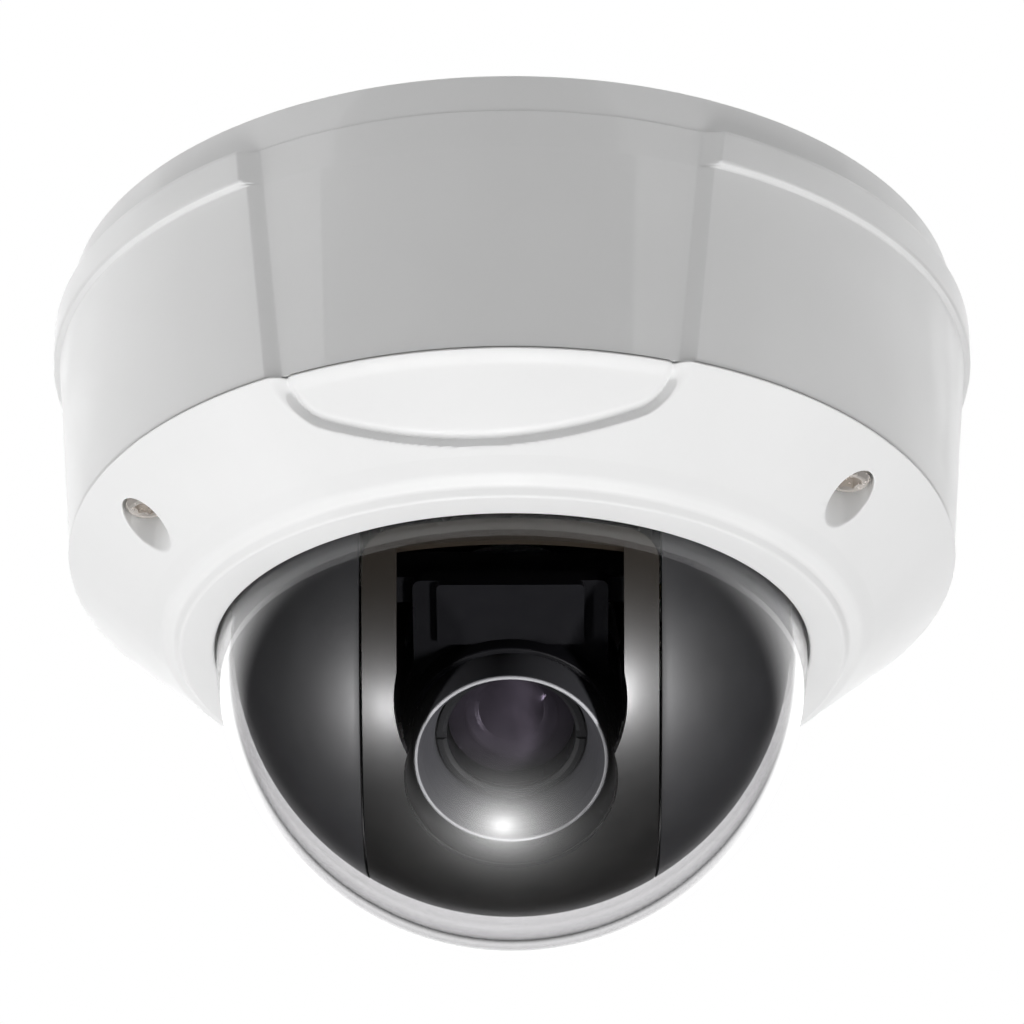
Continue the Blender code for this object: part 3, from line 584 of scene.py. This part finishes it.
def liners():
    """Two caps of one sphere, each with the posts that hold it to the turntable."""
    outer, inner, edge = LINER_OUTER, LINER_INNER, 24.2
    rim = math.sqrt(outer ** 2 - edge ** 2)
    for side, sign in (("left", -1), ("right", 1)):
        path = [(0.0, outer, 0)]
        stop = math.degrees(math.acos((edge + 0.3) / outer))
        path += [(r, x, 0) for x, r in arc(outer, 0.5, stop, 48)]
        path += [(rim, edge + 0.08, 0), (rim - 0.3, edge, 0)]
        stop = math.degrees(math.acos(edge / inner))
        path += [(r, x, 0) for x, r in arc(inner, stop, 0.5, 40)]
        path += [(0.0, inner, 0)]
        turn = Matrix.Rotation(math.radians(90 * sign), 4, "Y")
        cap = lathe("eyeball_" + side, path, "black_plastic", PAN_TURN @ turn, 220, closed=False)
        posts = []
        reach = math.sqrt(46.5 ** 2 - 81 - 6.4 ** 2)
        for i, y in enumerate((-9, 9)):
            where = PAN_TURN @ Matrix.Translation((0, y, -6.4)) @ turn
            posts.append(rod(f"post_{side}_{i}", 2.5, 29.3, reach, 24, matrix=where))
        combine(cap, "UNION", *posts)
        combine(cap, "DIFFERENCE", block("trim_" + side, (-70, -70, -55.5), (70, 70, 0)))
        shade(cap, 30)
        wear(cap, "pan", "black_plastic", "liner_" + side)


def band():
    """Curved strip with rounded upper corners that closes the slot between the liners."""
    low, high = math.radians(-92.0), math.radians(54.0)
    corner = 5.0
    angles = [*np.linspace(low, high - 0.16, 70), *np.linspace(high - 0.16, high, 26)[1:]]
    points = []
    for radius in (LINER_OUTER, LINER_INNER):
        for a in angles:
            left = (high - a) * LINER_OUTER
            side = BAND_HALF
            if left < corner:
                side += math.sqrt(max(0.0, corner ** 2 - (corner - left) ** 2)) - corner
            for share in np.linspace(-1, 1, 41):
                x = side * share
                r = math.sqrt(radius ** 2 - x * x)
                points.append((x, r * math.sin(a), r * math.cos(a)))
    faces = thick_grid(len(angles), 41)
    strip = solid("eyeball_band", points, faces, "band_plastic", HEAD)
    slot = []
    for radius in (30.0, 60.0):
        for a in np.radians(np.linspace(16, 49.5, 24)):
            for s in np.linspace(-1, 1, 13):
                slot.append((18.2 * s, radius * math.sin(a), radius * math.cos(a)))
    combine(strip, "DIFFERENCE", rod("lens_way", 17.2, 30, 60, 96, matrix=HEAD),
            rod("ring_way", 18.7, 28, 60, 96, matrix=HEAD @ Matrix.Translation((0, 13, 0))),
            solid("slot_way", slot, thick_grid(24, 13), None, HEAD))
    dish = lathe("dish", [(17.0, 43.6, 0.2), (18.0, 43.2, 0), (16.9, 35.4, 0), (16.2, 35.4, 0.2)],
                 None, HEAD, 96)
    combine(dish, "DIFFERENCE", block("dish_trim", (-30, 4.2, 30), (30, 30, 50), None, HEAD))
    combine(strip, "UNION", dish)
    shade(strip, 30)
    wear(strip, "tilt", "black_plastic", "shutter_band")


# ---------------------------------------------------------------- lens head

def shroud():
    tab = rounded([(-15.8, 6, 0), (15.8, 6, 0), (15.8, 27.7, 1.6), (-15.8, 27.7, 1.6)], True, 5)
    plate = slab("lens_neck", tab, 26.0, 29.0, "neck_plastic", HEAD)
    face = rounded([(-11.9, 16.6, 0.6), (11.9, 16.6, 0.6), (11.9, 27.7, 0.9), (-11.9, 27.7, 0.9)],
                   True, 4)
    combine(plate, "UNION", rod("neck_disc", 17.8, 26.0, 29.0, 96, matrix=HEAD),
            slab("neck_face", face, 28.5, 30.4, None, HEAD),
            block("neck_beam", (-20.5, 22.6, 18.5), (20.5, 27.2, 27.0), matrix=HEAD),
            lathe("neck_collar", [(16.0, 33.0, 0.3), (16.0, 28.0, 0), (17.8, 28.0, 0),
                                  (17.4, 33.0, 0.4)], None, HEAD, 96))
    combine(plate, "DIFFERENCE", rod("neck_bore", 16.5, 20, 40, 96, matrix=HEAD),
            *[rod(f"ear_way_{sign}", 1.5, 17, 25, 24, matrix=HEAD @ Matrix.Translation((0, 25, 21))
                  @ Matrix.Rotation(math.radians(90 * sign), 4, "Y")) for sign in (-1, 1)])
    shade(plate, 30)
    wear(plate, "tilt", "black_plastic", "lens_shroud")


def lens():
    lathe_parts = [
        ("front_tube", "lens_tube", "roll", "front_barrel", [
            (15.62, 39.2, 0.12), (15.85, 38.9, 0.15), (15.9, 33.0, 0), (15.9, 25.0, 0.3),
            (13.3, 25.0, 0), (13.3, 30.5, 0), (12.5, 30.5, 0), (12.5, 31.8, 0), (12.9, 32.7, 0.15),
            (12.75, 32.75, 0), (13.3, 33.9, 0.15), (13.15, 33.95, 0), (13.7, 35.1, 0.15),
            (13.55, 35.15, 0), (14.1, 36.3, 0.15), (13.95, 36.35, 0), (14.5, 37.5, 0.15),
            (14.35, 37.55, 0), (15.1, 38.9, 0.2), (15.3, 39.2, 0.1)]),
        ("lens_clamp_ring", "lens_ring", "roll", "retaining_ring", [
            (12.2, 31.6, 0.1), (12.2, 30.4, 0), (10.6, 30.4, 0), (10.6, 31.1, 0.1),
            (11.2, 31.6, 0.15)]),
        ("focus_collar", "grey_plastic", "focus", "focus_ring", [
            (18.0, 24.2, 0.2), (18.4, 23.7, 0.2), (18.4, 23.0, 0), (18.4, 22.6, 0), (18.4, 13.9, 0),
            (18.4, 13.5, 0), (18.4, 12.4, 0.3), (17.9, 12.0, 0.1), (13.3, 12.0, 0),
            (13.3, 24.2, 0)]),
        ("zoom_collar", "black_plastic", "zoom", "zoom_ring", [
            (16.4, 10.8, 0.3), (16.8, 10.4, 0.2), (16.8, 4.3, 0.2), (16.4, 3.9, 0.3),
            (13.3, 3.9, 0), (13.3, 10.8, 0)]),
    ]
    for name, look, body, node, corners in lathe_parts:
        ribs = (13.6, 22.8, 90, 0.28) if name == "focus_collar" else None
        steps = 720 if ribs else 192
        part = lathe(name, corners, look, HEAD, steps, ribs=ribs)
        if name == "lens_clamp_ring":
            combine(part, "DIFFERENCE", *[
                block(f"spanner_slot_{i}", (x - 1.6, -0.75, 31.0), (x + 1.6, 0.75, 33), None, HEAD)
                for i, x in enumerate((-12.0, 12.0))])
            shade(part)
        slot = "anodised_black" if body == "roll" else look
        wear(part, body, slot, node)
    dome = [(0.0, 30.0, 0)]
    dome += [(r, 30.0 - 3.6 * (r / 10.4) ** 2, 0) for r in np.linspace(0.4, 10.4, 28)]
    dome += [(10.4, 23.5, 0), (9.9, 23.2, 0), (0.0, 22.8, 0)]
    front = lathe("front_glass", dome, "glass_coated", HEAD, 128, closed=False)
    wear(front, "roll", "coated_glass", "front_element")


# ---------------------------------------------------------------- the rest of the CAD nodes

NODE_LOOKS = {
    "rubber": ["mounting_gasket", "cable_grommet"],
    "silicone": ["cover_seal", "bubble_gasket"],
    "brass": ["chassis_post_1", "chassis_post_2", "chassis_post_3", "pan_lock_screw",
              "tilt_lock_screw", "zoom_lock_screw", "focus_lock_screw"],
    "zinc_steel": ["chassis_screw_1", "chassis_screw_2", "chassis_screw_3", "chassis_plate",
                   "network_jack", "bubble_clamp", "clamp_screw_1", "clamp_screw_2",
                   "clamp_screw_3", "pan_clip", "shroud_screw_left", "shroud_screw_right"],
    "black_steel": ["tilt_cradle", "yoke_arm_left", "yoke_arm_right"],
    "grey_plastic": ["pan_track"],
    "black_plastic": ["pan_turntable", "filter_holder", "reset_switch"],
    "anodised_black": ["sensor_housing", "lens_barrel"],
    "board_green": ["main_board", "sensor_board"],
    "terminal_green": ["power_terminal"],
    "stainless": ["memory_card_slot", "tilt_pin_left", "tilt_pin_right"],
    "aluminium": ["heat_sink", "lens_mount"],
    "switch_white": ["reset_button"],
    "silicon": ["image_sensor"],
    "glass_coated": ["rear_element"],
    "paper": ["desiccant_pack"],
}


def dress_nodes():
    for look, names in NODE_LOOKS.items():
        for name in names:
            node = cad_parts[name]
            node.data.materials.clear()
            node.data.materials.append(LOOKS[look])


# ---------------------------------------------------------------- stage

SUNS = [
    ("sun_left", -95, -22, 2.25, 70),
    ("sun_right", 100, -22, 1.35, 70),
    ("sun_below", 0, -85, 4.25, 60),
    ("sun_front", 0, -10, 1.35, 140),
    ("sun_back", 180, -10, 0.95, 140),
]
HIGHLIGHTS = [
    ("glow_left", (-0.720, -0.320, -0.616), 5.6, 8),
    ("glow_right", (0.670, -0.400, -0.625), 10.5, 8),
]
GLOW_FROM = (-0.052, 0.060, -0.997)
GLOW_WIDTH = math.radians(7.5)


def light_dome(name, away, towards, low, high, strength, glow=0.0):
    """Emitting ball round the object, bright round one direction, with one soft glow if asked."""
    form = bmesh.new()
    bmesh.ops.create_icosphere(form, subdivisions=4, radius=away)
    mesh = bpy.data.meshes.new(name)
    form.to_mesh(mesh)
    form.free()
    obj = bpy.data.objects.new(name, mesh)
    bpy.context.scene.collection.objects.link(obj)
    made = bpy.data.materials.new(name)
    made.use_nodes = True
    tree = made.node_tree
    tree.nodes.remove(tree.nodes["Principled BSDF"])
    aim = tree.nodes.new("ShaderNodeVectorMath")
    aim.operation = "NORMALIZE"
    tree.links.new(tree.nodes.new("ShaderNodeTexCoord").outputs["Object"], aim.inputs[0])
    ray = aim.outputs["Vector"]
    rise = tree.nodes.new("ShaderNodeMapRange")
    rise.interpolation_type = "SMOOTHSTEP"
    rise.inputs["From Min"].default_value = low
    rise.inputs["From Max"].default_value = high
    rise.inputs["To Max"].default_value = strength
    tree.links.new(step_of(tree, "ShaderNodeVectorMath", "DOT_PRODUCT", ray, towards),
                   rise.inputs["Value"])
    total = rise.outputs["Result"]
    if glow:
        off = step_of(tree, "ShaderNodeMath", "ARCCOSINE",
                      step_of(tree, "ShaderNodeVectorMath", "DOT_PRODUCT", ray, GLOW_FROM))
        fall = step_of(tree, "ShaderNodeMath", "EXPONENT",
                       step_of(tree, "ShaderNodeMath", "MULTIPLY", off, -1.0 / GLOW_WIDTH))
        total = step_of(tree, "ShaderNodeMath", "ADD", total,
                        step_of(tree, "ShaderNodeMath", "MULTIPLY", fall, glow))
    light = tree.nodes.new("ShaderNodeEmission")
    tree.links.new(total, light.inputs["Strength"])
    tree.links.new(light.outputs["Emission"], tree.nodes["Material Output"].inputs["Surface"])
    mesh.materials.append(made)
    obj.visible_camera = False
    obj.visible_diffuse = False
    obj.visible_shadow = False
    return obj


def sun(name, source, strength, angle):
    """Distant light from the direction source."""
    data = bpy.data.lights.new(name, "SUN")
    data.energy = strength
    data.angle = math.radians(angle)
    obj = bpy.data.objects.new(name, data)
    bpy.context.scene.collection.objects.link(obj)
    obj.rotation_euler = (-source).to_track_quat("-Z", "Y").to_euler()
    return obj


def highlight(name, direction, strength, angle):
    """Narrow light that falls only on the dark parts behind the clear dome."""
    sun(name, Vector(direction), strength, angle).light_linking.receiver_collection = DARK_PARTS


def soft_sun(name, azimuth, elevation, strength, angle):
    """Wide soft light for the paint, from an azimuth counted from the front towards +X."""
    a, e = math.radians(azimuth), math.radians(elevation)
    obj = sun(name, Vector((math.sin(a) * math.cos(e), -math.cos(a) * math.cos(e), math.sin(e))),
              strength, angle)
    obj.visible_glossy = False
    obj.visible_transmission = False
    obj.visible_camera = False


def floor_sheet(name, look):
    """One sheet of the floor, under the object."""
    mesh = bpy.data.meshes.new(name)
    corners = [(x, y, FLOOR_Z) for x, y in ((-4, -4), (4, -4), (4, 4), (-4, 4))]
    mesh.from_pydata(corners, [], [(0, 1, 2, 3)])
    mesh.materials.append(look)
    sheet = bpy.data.objects.new(name, mesh)
    bpy.context.scene.collection.objects.link(sheet)
    sheet.visible_glossy = False
    sheet.visible_transmission = False
    sheet.visible_shadow = False
    return sheet


def stage():
    world = bpy.data.worlds.new("studio")
    bpy.context.scene.world = world
    world.use_nodes = True
    sky = world.node_tree.nodes["Background"]
    sky.inputs["Color"].default_value = (1.0, 1.0, 1.0, 1.0)
    sky.inputs["Strength"].default_value = 1.0
    world.cycles_visibility.diffuse = False
    world.cycles_visibility.glossy = False
    world.cycles_visibility.transmission = False
    shade_sheet = floor_sheet("floor_shade", finish_of(
        "floor_paper", (0.85, 0.85, 0.85), 0.8, vary=0.02, patch=2, grain=60, bump=0.2))
    shade_sheet.visible_camera = False
    paper = finish_of("floor_pale", (0.55, 0.55, 0.55), 0.8, vary=0.02, patch=2, grain=60, bump=0.2,
                      Emission_Color=(1.0, 1.0, 1.0, 1.0), Emission_Strength=0.62)
    paper.cycles.emission_sampling = "NONE"
    floor_sheet("floor", paper).visible_diffuse = False
    surround = light_dome("surround", 1.55, (0.0, 0.25, 0.968), 0.20, 0.46, 1.9, 22.0)
    surround.visible_transmission = False
    backdrop = light_dome("backdrop", 1.50, (-0.0676, 0.8785, 0.4729), 0.78, 0.86, 1.1)
    backdrop.visible_glossy = False
    for name, direction, strength, angle in HIGHLIGHTS:
        highlight(name, direction, strength, angle)
    for name, azimuth, elevation, strength, angle in SUNS:
        soft_sun(name, azimuth, elevation, strength, angle)


def camera():
    """Looks up at the object from a little below and to the right of its front."""
    away, middle = 0.9365, -0.04835
    level, aim, side = math.radians(28.22), math.radians(28.708), math.radians(4.4)
    data = bpy.data.cameras.new("camera")
    data.lens = 191.6
    data.sensor_width = 36.0
    obj = bpy.data.objects.new("camera", data)
    bpy.context.scene.collection.objects.link(obj)
    obj.location = (away * math.cos(level) * math.sin(side), -away * math.cos(level) * math.cos(side),
                    middle - away * math.sin(level))
    ahead = Vector((-math.sin(side) * math.cos(aim), math.cos(side) * math.cos(aim), math.sin(aim)))
    obj.rotation_mode = "QUATERNION"
    obj.rotation_quaternion = ahead.to_track_quat("-Z", "Y")
    data.clip_start = 0.01
    data.clip_end = 20.0
    bpy.context.scene.camera = obj


housing()
cover()
cover_screws()
bubble()
liners()
band()
shroud()
lens()
dress_nodes()
stage()
camera()
bpy.context.scene.view_settings.view_transform = "Standard"
